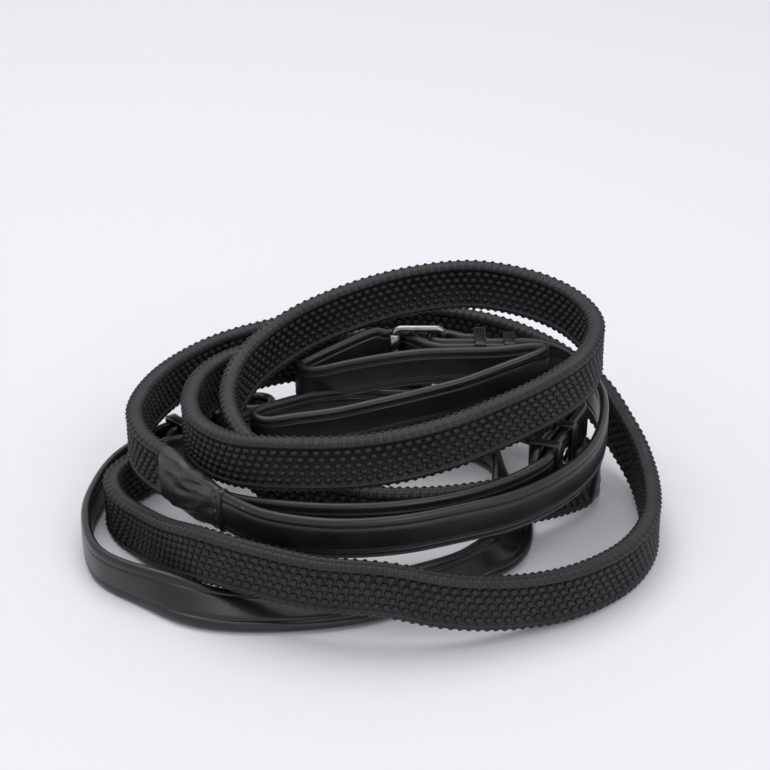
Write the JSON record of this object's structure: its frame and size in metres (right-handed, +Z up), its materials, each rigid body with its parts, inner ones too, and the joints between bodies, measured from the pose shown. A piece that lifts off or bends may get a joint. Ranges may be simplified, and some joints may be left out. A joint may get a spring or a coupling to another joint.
{
  "type": "riding reins",
  "caption": "Pair of black leather riding reins with pimpled rubber hand grips, coiled on edge and buckled together at the hand end, with hook-stud loops at the bit ends.",
  "frame": {"origin": "on the surface the coil rests on, below the centre of the coil's overall box", "axes": "+Z up, the straps stand on edge; +X to the viewer's right, +Y away from the viewer"},
  "size_m": [0.2256, 0.1962, 0.078],
  "materials": {
    "strap_leather": "smooth black bridle leather, lightly polished",
    "sleeve_leather": "thin black leather, wrinkled and stitched",
    "grip_rubber": "moulded black rubber with small raised pimples",
    "webbing": "woven cotton webbing, hidden inside the grips",
    "bright_metal": "polished plated steel"
  },
  "bodies": {
    "reins": {"left_bit_strap": "strap_leather", "left_lower_sleeve": "sleeve_leather", "left_grip_core": "webbing", "left_rubber_grip": "grip_rubber", "left_upper_sleeve": "sleeve_leather", "left_hand_strap": "strap_leather", "left_hook_stud": "bright_metal", "left_fixed_keeper": "strap_leather", "right_bit_strap": "strap_leather", "right_lower_sleeve": "sleeve_leather", "right_grip_core": "webbing", "right_rubber_grip": "grip_rubber", "right_upper_sleeve": "sleeve_leather", "right_hand_strap": "strap_leather", "right_hook_stud": "bright_metal", "right_fixed_keeper": "strap_leather", "buckle_frame": "bright_metal", "buckle_fixed_keeper": "strap_leather"},
    "tongue": {"buckle_tongue": "bright_metal"},
    "roller": {"buckle_roller": "bright_metal"},
    "buckle_keeper": {"buckle_loose_keeper": "strap_leather"},
    "left_bit_keeper": {"left_loose_keeper": "strap_leather"},
    "right_bit_keeper": {"right_loose_keeper": "strap_leather"}
  },
  "joints": [
    {"name": "tongue_hinge", "type": "hinge", "parent": "reins", "child": "tongue", "pos_m": [0.02904, 0.05409, 0.0465], "axis": [0, 0, 1], "range_deg": [0, 8]},
    {"name": "roller_spin", "type": "hinge", "parent": "reins", "child": "roller", "pos_m": [0.00904, 0.05409, 0.0465], "axis": [0, 0, 1], "continuous": true},
    {"name": "buckle_keeper_slide", "type": "slide", "parent": "reins", "child": "buckle_keeper", "axis": [1, 0, 0], "range_m": [-0.002, 0.003]},
    {"name": "left_bit_keeper_slide", "type": "slide", "parent": "reins", "child": "left_bit_keeper", "axis": [0.766, 0.6428, 0], "range_m": [-0.003, 0.002]},
    {"name": "right_bit_keeper_slide", "type": "slide", "parent": "reins", "child": "right_bit_keeper", "axis": [0.3907, 0.9205, 0], "range_m": [-0.003, 0.001]}
  ]
}
